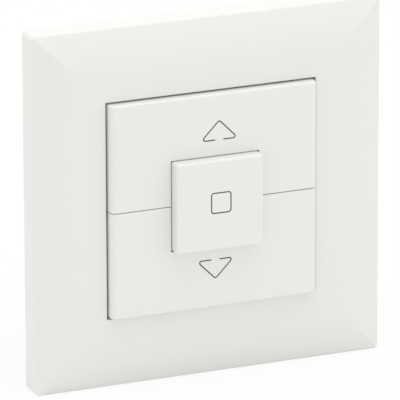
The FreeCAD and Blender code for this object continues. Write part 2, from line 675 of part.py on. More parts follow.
# Rear housing
def rear_housing():
    body = new_body("rear_housing")
    half = "(housing_side / 2)"
    wall_half = "(housing_side / 2 - housing_wall)"
    inner_cut = "(housing_corner_cut - housing_wall * 0.5858)"
    pad(body, "block", "front", HOUSING_BACK, CHASSIS_BACK, [cut_square(half, "housing_corner_cut")])
    ledge_half = "(ledge_width / 2)"
    outer = f"({half} + housing_ledge)"
    ledges = [
        rectangle(f"-{outer}", outer, f"-{ledge_half}", ledge_half),
        rectangle(f"-{ledge_half}", ledge_half, f"-{outer}", outer),
    ]
    for number, loop in enumerate(ledges):
        pad(body, f"ledges_{number}", "front", "-(ledge_height + 0.05)", "-0.05", [loop])
    cut(body, "chamber", "front", FLOOR, CHASSIS_BACK, [cut_square(wall_half, inner_cut)])
    pad(body, "shelves", "front", SHELF_BACK, SHELF_FRONT, [
        rectangle("-6", "6", f"{s}({PLUNGER_Z} - 4)", f"{s}({wall_half} + 0.2)") for s in ("", "-")
    ])
    cut(body, "rod_holes", "front", SHELF_BACK, SHELF_FRONT,
        [square_at("(rod_half + rod_side_gap)", f"{s}{PLUNGER_Z}") for s in ("", "-")])
    rib_front = f"({TERMINAL_FRONT} - 0.02)"
    strip_span = (f"({TIP_X} - strip_width / 2)", f"({TIP_X} + strip_width / 2)")
    strip_ribs = [
        rectangle(*strip_span, f"{s}({PLUNGER_Z} - 1)", f"{s}({PLUNGER_Z} + 1)") for s in ("", "-")
    ]
    pad(body, "strip_ribs", "front", f"({FLOOR} - 0.2)", rib_front, strip_ribs)
    busbar_ribs = [
        rectangle(f"-({BEAD_X} + 2)", f"-({BEAD_X} - 1.5)", f"{s}({PLUNGER_Z} - busbar_rib_inset - 2)",
                  f"{s}({PLUNGER_Z} - busbar_rib_inset)") for s in ("", "-")
    ]
    pad(body, "busbar_ribs", "front", f"({FLOOR} - 0.2)", f"({BUSBAR_BACK} - 0.02)", busbar_ribs)
    pad(body, "partition", "front", f"({FLOOR} - 0.2)", f"({BLADE_FRONT} + 1)",
        [rectangle("4", f"({wall_half} + 0.2)", "-(rib_wall / 2)", "(rib_wall / 2)")])
    windows = [
        rectangle(f"({s} * arm_spacing / 2 - arm_width / 2 - 0.3)",
                  f"({s} * arm_spacing / 2 + arm_width / 2 + 0.3)",
                  f"({CHASSIS_BACK} - arm_length - 1.9)", f"({CHASSIS_BACK} - arm_length + 0.05)")
        for s in (-1, 1)
    ]
    cut(body, "arm_windows", "top", f"-({half} + 1)", f"({half} + 1)", windows)
    entries = [circle(x, z, "wire_entry_radius") for x, z in TERMINAL_PLACES]
    cut(body, "wire_entries", "front", HOUSING_BACK, FLOOR, entries)
    middle = f"({FLOOR} + terminal_depth / 2)"
    reach = "(screw_head_radius + 0.3)"
    cut(body, "right_screw_holes", "side", wall_half, half,
        [circle(middle, f"{s}{TERMINAL_Z}", reach) for s in ("", "-")])
    cut(body, "left_screw_hole", "side", f"-{half}", f"-{wall_half}", [circle(middle, "0", reach)])
    return body


TERMINAL_PLACES = ((f"-{TERMINAL_X}", "0"), (TERMINAL_X, TERMINAL_Z), (TERMINAL_X, f"-{TERMINAL_Z}"))
BEAD_OUT = f"({BLADE_BACK} + blade_wall / 2)"
BUSBAR_FRONT = f"({BEAD_OUT} - bead_radius - 0.02)"
BUSBAR_BACK = f"({BUSBAR_FRONT} - busbar_wall)"


# Plungers
def plunger(label, sign):
    """A square pin that can't turn: tip, guide with the latch notch, stop collar and the rod on the blade."""
    body = new_body(label)
    shoulder = f"({CHASSIS_FRONT} + plunger_shoulder)"
    pad(body, "guide", "front", COLLAR_FRONT, shoulder, [square("plunger_half")])
    pad(body, "collar", "front", COLLAR_BACK, COLLAR_FRONT, [square("collar_half")])
    tip_front = f"({KEY_CEILING} - boss_length - plunger_tip_gap)"
    pad(body, "tip", "side", "-plunger_tip_half", "plunger_tip_half",
        [tapered_end(f"({shoulder} - 0.5)", tip_front, "plunger_tip_half", "plunger_tip_taper")])
    rod_back = f"({BLADE_FRONT} + rod_gap)"
    pad(body, "rod", "top", "-rod_half", "rod_half",
        [turned(tapered_end(f"({COLLAR_BACK} + 0.2)", rod_back, "rod_half", "-rod_taper"))])
    notch_front = f"({SLIDER_FRONT} + plunger_travel + notch_room)"
    notch_back = f"({SLIDER_BACK} + plunger_travel - notch_room)"
    reach = "(plunger_half + 0.1)"
    cut(body, "latch_notch", "front", notch_back, notch_front,
        [rectangle(f"-{reach}", "-(plunger_half - plunger_notch)", f"-{reach}", reach)])
    place(body, z=f"{sign}{PLUNGER_Z}")
    return body


def tapered_end(start, end, half, taper):
    """A bar from start to end; its last stretch, as long as the taper, narrows by the taper on both sides."""
    narrow = f"({half} - abs({taper}))"
    return [
        (start, f"-{half}"), (f"({end} - {taper})", f"-{half}"), (end, f"-{narrow}"), (end, narrow),
        (f"({end} - {taper})", half), (start, half),
    ]


# Latch slider
def latch_slider():
    body = new_body("latch_slider")
    half = "slider_half_width"
    end = f"({PLUNGER_Z} - plunger_half - slider_end_gap)"
    fork = f"({PLUNGER_Z} + slider_reach)"
    tooth = "(plunger_half + latch_gap)"
    arm = SLIDER_EDGE
    pad(body, "plate", "front", SLIDER_BACK, SLIDER_FRONT, [[
        (f"-{arm}", f"-{fork}"), (f"-{tooth}", f"-{fork}"), (f"-{tooth}", f"-{end}"), (half, f"-{end}"),
        (half, end), (f"-{tooth}", end), (f"-{tooth}", fork), (f"-{arm}", fork),
    ]])
    stem = "(stem_side / 2)"
    wedge_top = f"({SLIDER_FRONT} + 0.4)"
    front_edge = f"((({wedge_top} - {SLIDER_FRONT}) * {WEDGE_SLOPE}) - {stem} - 0.08)"
    back_edge = f"((({wedge_top} - {SLIDER_BACK}) * {WEDGE_SLOPE}) - {stem} - 0.08)"
    clear = f"({stem} + slider_travel + 0.3)"
    window_low, window_high = f"-({stem} + 0.2)", f"({stem} + 0.2)"
    cut(body, "wedge_window", "top", window_low, window_high, [[
        (front_edge, SLIDER_FRONT), (back_edge, SLIDER_BACK), (clear, SLIDER_BACK), (clear, SLIDER_FRONT),
    ]])
    slots = []
    for sign in ("", "-"):
        height = "(guide_pin_radius + 0.1)"
        slots.append(rectangle(f"-{height}", f"({height} + slider_travel + 0.1)",
                               f"{sign}({GUIDE_PIN_Z} - {height})", f"{sign}({GUIDE_PIN_Z} + {height})"))
    cut(body, "guide_slots", "front", SLIDER_BACK, SLIDER_FRONT, slots)
    return body


# Contact system
def contact_blade(label, turn_z):
    """A flat blade with a round bead at one end, in which it pivots."""
    body = new_body(label)
    centre = f"{turn_z}{PLUNGER_Z}"
    low, high = f"({centre} - blade_width / 2)", f"({centre} + blade_width / 2)"
    pad(body, "blade", "top", low, high,
        [rectangle(f"-{BEAD_X}", f"({TIP_X} + tip_radius + 0.5)", BLADE_BACK, BLADE_FRONT)])
    pad(body, "bead", "top", low, high, [circle(f"-{BEAD_X}", BEAD_OUT, "bead_radius")])
    return body


def moving_tip(label, turn_z):
    body = new_body(label)
    pad(body, "rivet", "front", f"({BLADE_BACK} - tip_height)", BLADE_BACK,
        [circle(TIP_X, f"{turn_z}{PLUNGER_Z}", "tip_radius")])
    return body


def contact_strip(label, turn_z):
    """A flat strip from under the moving contact to the front of its terminal."""
    body = new_body(label)
    low, high = f"{turn_z}({TERMINAL_Z} - terminal_width / 2 + 1)", f"{turn_z}({PLUNGER_Z} + 2)"
    pad(body, "strip", "front", TERMINAL_FRONT, STRIP_FRONT,
        [rectangle(f"({TIP_X} - strip_width / 2)", f"({TIP_X} + strip_width / 2)", low, high)])
    return body


def fixed_contact_tips():
    """Two like rivets, one on each strip."""
    rivets = []
    for sign in ("", "-"):
        rivet = doc.addObject("Part::Cylinder", f"fixed_tip_{'up' if not sign else 'down'}")
        rivet.setExpression("Radius", bound("tip_radius"))
        rivet.setExpression("Height", bound("tip_height"))
        rivet.Placement = FreeCAD.Placement(FreeCAD.Vector(), FreeCAD.Rotation(FreeCAD.Vector(1, 0, 0), 90))
        rivet.setExpression("Placement.Base.x", bound(TIP_X))
        rivet.setExpression("Placement.Base.y", bound(f"-({STRIP_FRONT})"))
        rivet.setExpression("Placement.Base.z", bound(f"{sign}{PLUNGER_Z}"))
        rivets.append(rivet)
    return compound("fixed_contact_tips", rivets)


def compound(label, pieces):
    group = doc.addObject("Part::Compound", label)
    group.Label = label
    group.Links = pieces
    return group


def common_busbar():
    """A channel along both blades' pivots, with a leg and a foot on the common terminal."""
    body = new_body("common_busbar")
    reach = f"({PLUNGER_Z} + blade_width / 2 + busbar_end)"
    inner_left = f"-({BEAD_X} + bead_radius + busbar_gap)"
    left = f"({inner_left} - busbar_wall)"
    inner_right = f"-({BEAD_X} - bead_radius - busbar_gap)"
    right = f"({inner_right} + busbar_wall)"
    low_wall = f"({BLADE_BACK} - busbar_lip)"
    high_wall = f"({BEAD_OUT} + bead_radius)"
    pad(body, "channel", "top", f"-{reach}", reach, [[
        (left, BUSBAR_BACK), (right, BUSBAR_BACK), (right, low_wall), (inner_right, low_wall),
        (inner_right, BUSBAR_FRONT), (inner_left, BUSBAR_FRONT), (inner_left, high_wall), (left, high_wall),
    ]])
    foot_front = f"({TERMINAL_FRONT} + busbar_wall)"
    foot_end = f"-({TERMINAL_X} - busbar_foot)"
    leg_right = f"({left} + busbar_wall)"
    leg_top = f"({BUSBAR_BACK} + 0.2)"
    pad(body, "leg", "top", "-busbar_leg_width / 2", "busbar_leg_width / 2", [[
        (left, TERMINAL_FRONT), (foot_end, TERMINAL_FRONT), (foot_end, foot_front), (leg_right, foot_front),
        (leg_right, leg_top), (left, leg_top),
    ]])
    return body


def terminal(label, z, turn):
    """A pillar terminal: a block with a blind hole for the wire and a screw hole from the side."""
    body = new_body(label)
    half = "(terminal_width / 2)"
    pad(body, "block", "front", FLOOR, TERMINAL_FRONT,
        [rectangle(f"({TERMINAL_X} - {half})", f"({TERMINAL_X} + {half})", f"-{half}", half)])
    cut(body, "wire_hole", "front", FLOOR, f"({TERMINAL_FRONT} - 1)",
        [circle(TERMINAL_X, "0", "wire_radius")])
    cut(body, "screw_hole", "side", TERMINAL_X, f"({TERMINAL_X} + {half})",
        [circle(f"({FLOOR} + terminal_depth / 2)", "0", "(screw_radius + screw_gap)")])
    place(body, z=z, turn=turn)
    return body


def terminal_screws():
    """Three like screws, backed off so that the wire holes are free."""
    pieces = []
    for label, sign, z in (("common", -1, "0"), ("up", 1, TERMINAL_Z), ("down", 1, f"-{TERMINAL_Z}")):
        head_out = f"({TERMINAL_X} + terminal_width / 2 + screw_head_length)"
        screw = revolved(f"{label}_screw", [
            ("0", "0"), ("screw_head_length", "0"), ("screw_head_length", "screw_head_radius"),
            ("0", "screw_head_radius"),
        ])
        shank = "(terminal_width / 2 - wire_radius - 0.3)"
        pad(screw, "shank", "front", f"-{shank}", "0.2", [circle("0", "0", "screw_radius")])
        screw.Placement = FreeCAD.Placement(
            FreeCAD.Vector(), FreeCAD.Rotation(FreeCAD.Vector(0, 0, 1), 90 * sign))
        screw.setExpression("Placement.Base.x", bound(f"{sign} * ({head_out} - screw_head_length)"))
        screw.setExpression("Placement.Base.y", bound(f"-({FLOOR} + terminal_depth / 2)"))
        screw.setExpression("Placement.Base.z", bound(z))
        pieces.append(screw)
    return compound("terminal_screws", pieces)


# Coil springs
STEPS_PER_TURN = 9
WIRE_SIDES = 4


def coil(label, radius, wire, length, turns):
    """A compression spring along +Y from the origin: a ruled loft through sections of the wire."""
    radius, wire, length = value(radius), value(wire), value(length)
    steps = round(turns * STEPS_PER_TURN)
    up = FreeCAD.Vector(0, 1, 0)
    sections = []
    for step in range(steps + 1):
        angle = 2 * math.pi * step / STEPS_PER_TURN
        away = FreeCAD.Vector(math.cos(angle), 0, math.sin(angle))
        centre = away * radius + up * (wire + (length - 2 * wire) * step / steps)
        corners = []
        for side in range(WIRE_SIDES):
            turn = 2 * math.pi * side / WIRE_SIDES
            corners.append(centre + away * (wire * math.cos(turn)) + up * (wire * math.sin(turn)))
        sections.append(Part.makePolygon(corners + corners[:1]))
    feature = doc.addObject("Part::Feature", label)
    feature.Label = label
    feature.Shape = Part.makeLoft(sections, True, True)
    return feature


def springs():
    key_length = f"({COLLAR_BACK} - {SHELF_FRONT} - 2 * spring_end_gap)"
    made = []
    for label, sign in (("up_spring", ""), ("down_spring", "-")):
        spring = coil(label, "key_spring_radius", "key_spring_wire", key_length, 4)
        spring.Placement.Base = FreeCAD.Vector(
            0, -value(f"{COLLAR_BACK} - spring_end_gap"), value(f"{sign}{PLUNGER_Z}"))
        made.append(spring)
    stop_length = f"({BUTTON_CEILING} - {CHASSIS_FRONT} - 2 * spring_end_gap)"
    spring = coil("stop_spring", "stop_spring_radius", "stop_spring_wire", stop_length, 5)
    spring.Placement.Base = FreeCAD.Vector(0, -value(f"{BUTTON_CEILING} - spring_end_gap"), 0)
    made.append(spring)
    latch_length = f"(spring_rest_x - {SLIDER_EDGE} - 2 * spring_end_gap)"
    spring = coil("latch_spring", "latch_spring_radius", "latch_spring_wire", latch_length, 5)
    spring.Placement = FreeCAD.Placement(
        FreeCAD.Vector(
            -value(f"{SLIDER_EDGE} + spring_end_gap"), -value(f"({SLIDER_FRONT} + {SLIDER_BACK}) / 2"), 0),
        FreeCAD.Rotation(FreeCAD.Vector(0, 0, 1), 90))
    made.append(spring)
    return made


def build():
    up_key = rocker_key("up_key", 0)
    ear_holes(up_key)
    down_key = rocker_key("down_key", 180)
    ear_holes(down_key)
    parts = [
        cover_plate(), support_frame(), key_chassis(), rear_housing(), up_key, down_key, stop_button(),
        plunger("up_plunger", ""), plunger("down_plunger", "-"), latch_slider(),
        contact_blade("up_contact_blade", ""), contact_blade("down_contact_blade", "-"),
        moving_tip("up_moving_tip", ""), moving_tip("down_moving_tip", "-"),
        contact_strip("up_contact_strip", ""), contact_strip("down_contact_strip", "-"), fixed_contact_tips(),
        common_busbar(), terminal("common_terminal", "0", 180), terminal("up_terminal", TERMINAL_Z, 0),
        terminal("down_terminal", f"-{TERMINAL_Z}", 0), terminal_screws(),
    ]
    return parts + springs()


parts = build()
doc.recompute()
for item in doc.Objects:
    if {"Invalid", "Error"} & set(item.State):
        raise RuntimeError(f"{item.Label} failed: {item.State}")
for part in parts:
    if part.Shape.isNull() or not part.Shape.isValid():
        raise RuntimeError(f"{part.Label} has no valid shape")

os.makedirs("parts", exist_ok=True)
for part in parts:
    part.Shape.exportStep(f"parts/{part.Label}.step")
    box = part.Shape.BoundBox
    print(f"{part.Label}: {len(part.Shape.Solids)} solid(s), {part.Shape.Volume:.1f} mm3, "
          f"{box.XLength:.2f} x {box.YLength:.2f} x {box.ZLength:.2f} mm")
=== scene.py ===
# %% [markdown]
# # Roller shutter switch: the looks
# A flush wall switch has few shapes and nearly one colour, so all of its looks lie in soft light, small
# rounded edges and the very fine grain of moulded plastic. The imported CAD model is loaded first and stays
# as it is. This script then gives every part its finish, and adds what is printed, cut or drawn too finely
# for the model.

import json
import math

import bmesh
import bpy
import numpy as np
from mathutils import Matrix, Vector


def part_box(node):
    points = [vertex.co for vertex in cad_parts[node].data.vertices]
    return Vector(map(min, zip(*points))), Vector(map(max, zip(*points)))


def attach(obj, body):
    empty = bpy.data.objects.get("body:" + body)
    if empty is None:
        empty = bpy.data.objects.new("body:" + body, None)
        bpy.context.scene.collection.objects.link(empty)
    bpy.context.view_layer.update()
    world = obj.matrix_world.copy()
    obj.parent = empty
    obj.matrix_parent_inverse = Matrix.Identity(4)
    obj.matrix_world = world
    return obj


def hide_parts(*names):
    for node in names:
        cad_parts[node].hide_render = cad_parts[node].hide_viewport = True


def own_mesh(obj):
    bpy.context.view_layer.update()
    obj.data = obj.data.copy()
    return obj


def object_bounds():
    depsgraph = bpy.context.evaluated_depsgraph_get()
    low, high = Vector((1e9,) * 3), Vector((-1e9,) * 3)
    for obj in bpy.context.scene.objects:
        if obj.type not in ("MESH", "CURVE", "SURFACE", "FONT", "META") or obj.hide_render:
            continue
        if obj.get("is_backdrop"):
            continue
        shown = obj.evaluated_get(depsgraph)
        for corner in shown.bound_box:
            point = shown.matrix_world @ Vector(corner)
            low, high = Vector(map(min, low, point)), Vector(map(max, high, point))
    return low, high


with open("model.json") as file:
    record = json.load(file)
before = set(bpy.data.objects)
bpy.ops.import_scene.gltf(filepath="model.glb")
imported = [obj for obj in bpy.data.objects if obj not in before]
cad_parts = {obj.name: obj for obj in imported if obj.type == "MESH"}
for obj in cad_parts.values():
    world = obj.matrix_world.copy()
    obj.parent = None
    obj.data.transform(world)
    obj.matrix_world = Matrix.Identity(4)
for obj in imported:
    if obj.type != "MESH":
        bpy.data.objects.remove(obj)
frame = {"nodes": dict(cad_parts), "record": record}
MM = 0.001
cad_box = [list(corner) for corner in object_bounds()]
print("parts in the frame:", len(frame["nodes"]))
print("box in mm:", [[round(v / MM, 1) for v in corner] for corner in cad_box])

# %% [markdown]
# ## Sizes that the looks share with the model
# The printed symbols lie on the keys and on the button, so the script has to know how far these stand out.
# The heights could be written down a second time, but they would then miss a change of the model, so the
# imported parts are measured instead. The wall is the plane y = 0, and the front looks along -y.

# %% Measured fronts
def stands_out(node):
    """How far a part stands out of the wall: minus the lowest y of its box."""
    return -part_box(node)[0].y


PLATE_FRONT = stands_out("cover_plate")
KEY_FRONT = stands_out("up_key")
BUTTON_FRONT = stands_out("stop_button")
print("fronts in mm:", [round(v / MM, 2) for v in (PLATE_FRONT, KEY_FRONT, BUTTON_FRONT)])

# %% [markdown]
# ## Camera
# The photograph was taken from the left and from above with a long lens: nearly no lines converge. The
# camera could be moved by hand until the picture fits. Here its place is worked out instead, from a bearing
# and a height angle round the middle of the key opening, the picture's scale, and the pixel where that
# middle falls. The camera is turned a little, and not shifted, to put the switch where it lies in the
# picture.

# %% View axes
VIEW_BEARING = math.radians(22.71)
VIEW_HEIGHT = math.radians(18.13)
VIEW_ROLL = math.radians(-0.125)


def view_axes():
    """Toward the camera = (-sin bearing * cos height, -cos bearing * cos height, sin height). Right is
    level, up stands square on both, and the roll turns right and up round the view."""
    toward = Vector((-math.sin(VIEW_BEARING) * math.cos(VIEW_HEIGHT),
                     -math.cos(VIEW_BEARING) * math.cos(VIEW_HEIGHT), math.sin(VIEW_HEIGHT)))
    right = Vector((math.cos(VIEW_BEARING), -math.sin(VIEW_BEARING), 0))
    up = toward.cross(right)
    roll = Matrix.Rotation(VIEW_ROLL, 3, toward)
    return toward, roll @ right, roll @ up


toward, right, up = view_axes()
print("toward the camera:", [round(v, 3) for v in toward])

# %% Camera
PIXELS_PER_MM = 4.4623
MIDDLE_PIXEL = (211.83, 198.61)
FRAME_PIXELS = 400
LENS_PIXELS = 6000
SENSOR_MM = 36
CLIP_NEAR, CLIP_FAR = 0.05, 20


def aim_camera():
    """Distance = focal length in pixels / pixels per mm. The camera looks past the middle of the opening
    by as much as that middle's pixel lies off the middle of the picture."""
    distance = LENS_PIXELS / PIXELS_PER_MM * MM
    middle = Vector((0, -PLATE_FRONT, 0))
    place = middle + toward * distance
    off_x = (MIDDLE_PIXEL[0] - FRAME_PIXELS / 2) / PIXELS_PER_MM * MM
    off_y = (FRAME_PIXELS / 2 - MIDDLE_PIXEL[1]) / PIXELS_PER_MM * MM
    target = middle - right * off_x - up * off_y
    back = (place - target).normalized()
    side = up.cross(back).normalized()
    turn = Matrix((side, back.cross(side), back)).transposed()
    data = bpy.data.cameras.new("camera")
    data.sensor_width = SENSOR_MM
    data.lens = LENS_PIXELS / FRAME_PIXELS * data.sensor_width
    data.clip_start, data.clip_end = CLIP_NEAR, CLIP_FAR
    camera = bpy.data.objects.new("camera", data)
    camera.matrix_world = Matrix.Translation(place) @ turn.to_4x4()
    bpy.context.scene.collection.objects.link(camera)
    bpy.context.scene.camera = camera
    return camera


camera = aim_camera()
bpy.context.scene.view_settings.view_transform = "Standard"
print("camera at mm:", [round(v / MM) for v in camera.location])

# %% [markdown]
# ## White background
# The photograph's background is plain white. More light would make it white too, but would wash out the
# white plastic. The Light Path node tells apart the rays that show the background from those that light the
# object, so only the first ones see full white: rays from the camera, in a gloss and through glass.

# %% Rays that show the background
WHITE = (1, 1, 1, 1)
FULL_STRENGTH = 1.0
print("full white:", WHITE, "at strength", FULL_STRENGTH)


def emptied(block):
    """The nodes and links of a world or a material, with nothing left in them."""
    block.use_nodes = True
    block.node_tree.nodes.clear()
    return block.node_tree.nodes, block.node_tree.links


def seen_rays(nodes, links):
    """The largest of three marks: 1 for a ray from the camera, in a gloss or through glass, and else 0."""
    path = nodes.new("ShaderNodeLightPath")
    seen = path.outputs["Is Camera Ray"]
    for label in ("Is Glossy Ray", "Is Transmission Ray"):
        either = nodes.new("ShaderNodeMath")
        either.operation = "MAXIMUM"
        links.new(seen, either.inputs[0])
        links.new(path.outputs[label], either.inputs[1])
        seen = either.outputs[0]
    return seen


def white_light(nodes, kind, strength):
    """A Background or Emission node in plain white."""
    light = nodes.new(kind)
    light.inputs["Color"].default_value = WHITE
    light.inputs["Strength"].default_value = strength
    return light


def mix_to_output(nodes, links, share, lit, shown, output):
    """Ends the nodes with lit * (1 - share) + shown * share."""
    mix = nodes.new("ShaderNodeMixShader")
    for source, socket in zip((share, lit.outputs[0], shown.outputs[0]), mix.inputs):
        links.new(source, socket)
    links.new(mix.outputs[0], nodes.new(output).inputs["Surface"])


# %% [markdown]
# ## Light
# White plastic shows its form only by how much light each side gets. One strong lamp would draw hard
# shadows that the photograph hasn't got. So the world fills everything evenly, which keeps the shade in the
# gaps and under the button faint, and a soft lamp straight above brightens the edges that look up. A weak
# one on the right makes the face a little lighter there, and another, at the left behind the wall's plane,
# reaches only the plate's left side. Together they bring a white face to its own colour.

# %% World
WORLD_FILL = 0.905

world = bpy.data.worlds.new("soft_room")
nodes, links = emptied(world)
mix_to_output(nodes, links, seen_rays(nodes, links), white_light(nodes, "ShaderNodeBackground", WORLD_FILL),
              white_light(nodes, "ShaderNodeBackground", FULL_STRENGTH), "ShaderNodeOutputWorld")
bpy.context.scene.world = world
print("world:", world.name, "fill:", WORLD_FILL)

# %% Lamps
LAMPS = [
    # name, place in metres, side in metres, watts
    ("top_lamp", (0.05, -0.12, 0.80), 0.5, 1.85),
    ("right_lamp", (0.75, -0.55, 0.15), 0.7, 0.45),
    ("side_lamp", (-0.60, 0.35, 0.55), 0.6, 0.65),
]


def soft_lamp(name, place, side, watts):
    """A square area lamp. Its -Z points from its place to the middle of the switch."""
    data = bpy.data.lights.new(name, "AREA")
    data.shape = "SQUARE"
    data.size = side
    data.energy = watts
    lamp = bpy.data.objects.new(name, data)
    lamp.location = place
    lamp.rotation_euler = (-Vector(place)).to_track_quat("-Z", "Y").to_euler()
    bpy.context.scene.collection.objects.link(lamp)
    return lamp


for row in LAMPS:
    lamp = soft_lamp(*row)
    print(lamp.name, "watts:", round(lamp.data.energy, 2), "metres away:", round(lamp.location.length, 2))

# %% [markdown]
# ## Floor
# The switch stands on its lower edge for the picture. A floor of pale paint alone would look grey beside
# the white background, so its material mixes two shaders. A matt one takes the switch's faint shadow, and
# plain white light covers most of it for the rays that show the floor.

# %% Floor
FLOOR_GAP = 0.05 * MM
FLOOR_REACH = 3.0
FLOOR_PAINT = (0.9, 0.9, 0.9, 1)
FLOOR_WHITE_SHARE = 0.85


def floor_material():
    """Matt paint * (1 - s) + white light * s, where s = white share * mark of the rays that show it."""
    material = bpy.data.materials.new("pale_floor")
    nodes, links = emptied(material)
    matt = nodes.new("ShaderNodeBsdfDiffuse")
    matt.inputs["Color"].default_value = FLOOR_PAINT
    share = nodes.new("ShaderNodeMath")
    share.operation = "MULTIPLY"
    share.inputs[1].default_value = FLOOR_WHITE_SHARE
    links.new(seen_rays(nodes, links), share.inputs[0])
    mix_to_output(nodes, links, share.outputs[0], matt,
                  white_light(nodes, "ShaderNodeEmission", FULL_STRENGTH), "ShaderNodeOutputMaterial")
    return material


def pale_floor():
    """A square of plus and minus the reach, level at the lowest point of the switch less the gap."""
    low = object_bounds()[0][2] - FLOOR_GAP
    corners = [(x * FLOOR_REACH, y * FLOOR_REACH, low) for x, y in ((-1, -1), (1, -1), (1, 1), (-1, 1))]
    mesh = bpy.data.meshes.new("floor")
    mesh.from_pydata(corners, [], [(0, 1, 2, 3)])
    mesh.materials.append(floor_material())
    floor = bpy.data.objects.new("floor", mesh)
    bpy.context.scene.collection.objects.link(floor)
    floor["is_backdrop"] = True
    return floor


floor = pale_floor()
print("floor at mm:", round(floor.data.vertices[0].co.z / MM, 2))

# %% [markdown]
# ## Node groups
# Several materials share an effect: the same grain on every plastic part, the same streaks on every metal
# one. It could be copied into each material, but then a change has to be made many times. A node group
# holds it once, and each material sets its own values. Both groups put out a colour, a roughness and a
# height.

# %% Node group helpers
EFFECT_OUTPUTS = [("Color", "NodeSocketColor"), ("Roughness", "NodeSocketFloat"),
                  ("Height", "NodeSocketFloat")]
NOISE_MIDDLE = 0.5
print("outputs of each effect:", [label for label, kind in EFFECT_OUTPUTS])


def new_group(name, sockets_in):
    """A shader node group with its named inputs, the three outputs, and its two end nodes."""
    group = bpy.data.node_groups.new(name, "ShaderNodeTree")
    for label, kind, value in sockets_in:
        socket = group.interface.new_socket(name=label, in_out="INPUT", socket_type=kind)
        socket.default_value = value
    for label, kind in EFFECT_OUTPUTS:
        group.interface.new_socket(name=label, in_out="OUTPUT", socket_type=kind)
    return group, group.nodes.new("NodeGroupInput"), group.nodes.new("NodeGroupOutput")


def feed(group, socket, value):
    """Sets a socket to a plain number, or links another node's socket to it."""
    if isinstance(value, (int, float)):
        socket.default_value = value
    else:
        group.links.new(value, socket)


def math_node(group, operation, a, b):
    """One Math node: a and b are each a socket or a plain number."""
    node = group.nodes.new("ShaderNodeMath")
    node.operation = operation
    feed(group, node.inputs[0], a)
    feed(group, node.inputs[1], b)
    return node.outputs[0]


def noise(group, place, per_metre, detail):
    """Soft noise from 0 to 1 at a place: its patches per metre, and how many finer layers lie on them."""
    node = group.nodes.new("ShaderNodeTexNoise")
    feed(group, node.inputs["Vector"], place)
    feed(group, node.inputs["Scale"], per_metre)
    node.inputs["Detail"].default_value = detail
    return node.outputs["Fac"]


def varied(group, base, noise_value, amount):
    """base + (noise - 0.5) * amount, so that the value swings evenly round its base."""
    swing = math_node(group, "MULTIPLY", math_node(group, "SUBTRACT", noise_value, NOISE_MIDDLE), amount)
    return math_node(group, "ADD", base, swing)


# %% [markdown]
# ## Moulded plastic
# Moulded plastic is never a flat colour. The steel mould is spark-eroded, which leaves a grain of about a
# tenth of a millimetre, and the colour clouds a little from thick to thin places. An image of a grain would
# repeat and blur up close, so both come from noise that reads the part's own coordinates in metres.

# %% Moulded plastic
CLOUDS_PER_METRE, CLOUD_DETAIL = 90.0, 3.0
GRAIN_DETAIL, GRAIN_ROUGHNESS = 2.0, 0.12


def moulded_group():
    """Colour = given colour * (1 + cloud's swing), roughness = given roughness + grain's swing, and
    height = grain."""
    group, given, out = new_group("moulded_plastic", [
        ("Color", "NodeSocketColor", WHITE), ("Cloud", "NodeSocketFloat", 0.01),
        ("Roughness", "NodeSocketFloat", 0.4), ("Grain per mm", "NodeSocketFloat", 8.0),
    ])
    place = group.nodes.new("ShaderNodeTexCoord").outputs["Object"]
    cloud = noise(group, place, CLOUDS_PER_METRE, CLOUD_DETAIL)
    grain_per_metre = math_node(group, "MULTIPLY", given.outputs["Grain per mm"], 1 / MM)
    grain = noise(group, place, grain_per_metre, GRAIN_DETAIL)
    shaded = group.nodes.new("ShaderNodeVectorMath")
    shaded.operation = "SCALE"
    feed(group, shaded.inputs[0], given.outputs["Color"])
    feed(group, shaded.inputs["Scale"], varied(group, 1.0, cloud, given.outputs["Cloud"]))
    rough = varied(group, given.outputs["Roughness"], grain, GRAIN_ROUGHNESS)
    feed(group, out.inputs["Color"], shaded.outputs[0])
    feed(group, out.inputs["Roughness"], rough)
    feed(group, out.inputs["Height"], grain)
    return group


moulded = moulded_group()
print("effect group:", moulded.name, "nodes:", len(moulded.nodes))

# %% [markdown]
# ## Worked metal
# Rolled sheet, drawn wire and turned screws all show long fine streaks, and a slow tarnish in patches. The
# streaks are noise too, read from coordinates that are squeezed along x, which draws each patch out that
# way.

# %% Worked metal
STREAK_SQUEEZE = (0.06, 1.0, 1.0)
STREAK_DETAIL, STREAK_ROUGHNESS = 3.0, 0.3
TARNISH_PER_METRE, TARNISH_DETAIL = 260.0, 4.0
TARNISH_FROM, TARNISH_TO, TARNISH_MOST = 0.45, 0.75, 0.6


